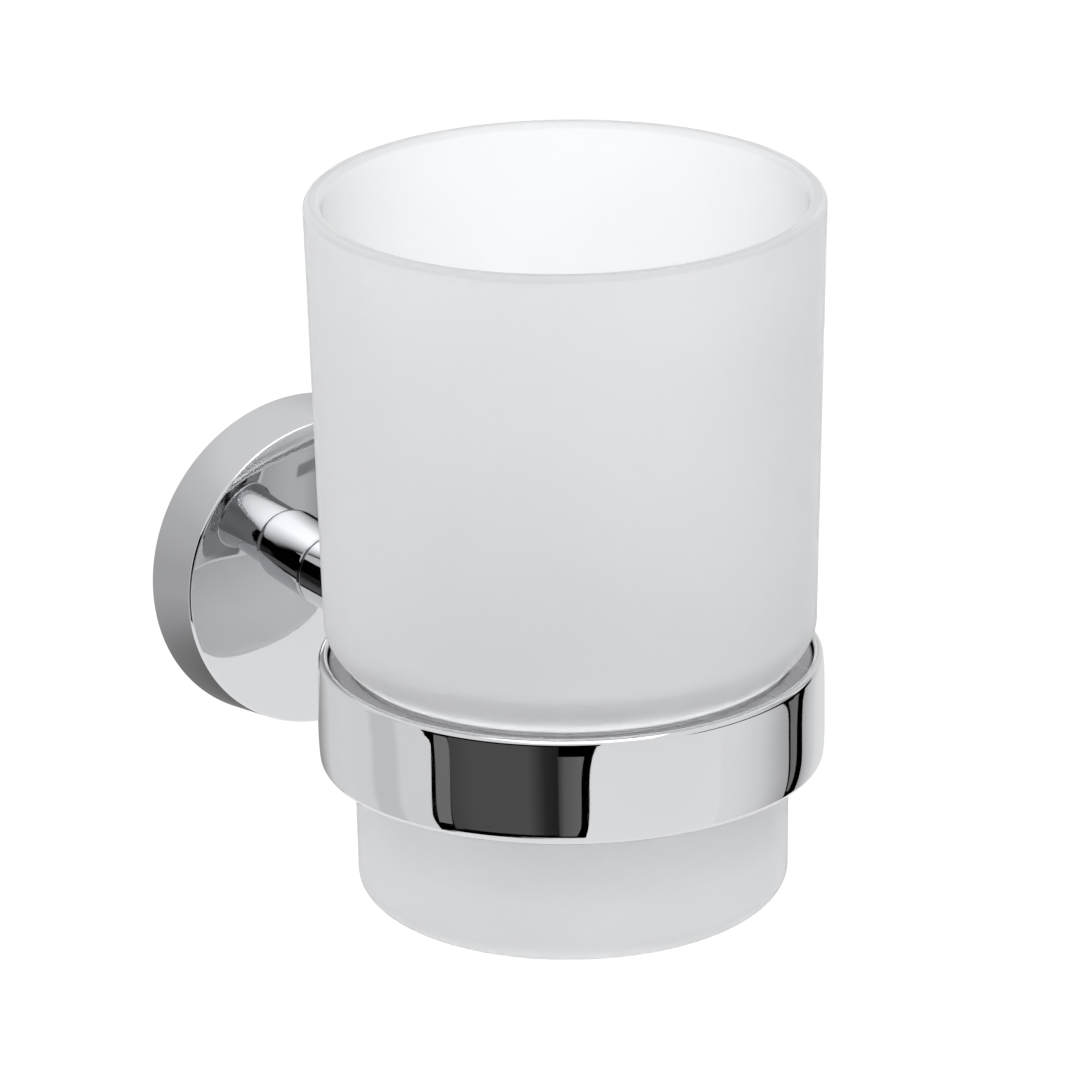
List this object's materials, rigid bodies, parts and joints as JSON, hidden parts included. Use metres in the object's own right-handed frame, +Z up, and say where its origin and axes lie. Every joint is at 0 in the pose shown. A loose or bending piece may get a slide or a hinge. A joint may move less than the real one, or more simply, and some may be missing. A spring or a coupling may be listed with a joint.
{
  "type": "toothbrush holder",
  "caption": "Wall-mounted toothbrush holder: a frosted glass cup rests by its shoulder in a polished ring on a short round arm from a round wall plate.",
  "frame": {"origin": "on the wall, where the arm's axis meets it: the middle of the wall bracket's back face", "axes": "+Z up, along the cup's axis. -Y away from the wall, along the arm. +X to the right for someone who faces the wall."},
  "size_m": [0.068, 0.104, 0.097],
  "materials": {
    "frosted_glass": "satin etched on the outside",
    "chrome": "mirror polished",
    "liner_plastic": "smooth grey",
    "plated_steel": "dull plated",
    "screw_steel": "plain"
  },
  "bodies": {
    "holder": {"wall_bracket": "plated_steel", "rosette": "chrome", "lock_washer": "screw_steel", "arm_bolt": "screw_steel", "arm_sleeve": "chrome", "ring_stem": "chrome", "ring_screw": "screw_steel", "ring_band": "chrome", "seat_liner": "liner_plastic"},
    "tumbler": {"tumbler": "frosted_glass"},
    "grub_screw": {"grub_screw": "screw_steel"}
  },
  "joints": [
    {"name": "tumbler_lift", "type": "slide", "parent": "holder", "child": "tumbler", "axis": [0, 0, 1], "range_m": [0, 0.06]},
    {"name": "grub_screw_travel", "type": "slide", "parent": "holder", "child": "grub_screw", "axis": [0, 0, -1], "range_m": [0, 0.0022]}
  ]
}
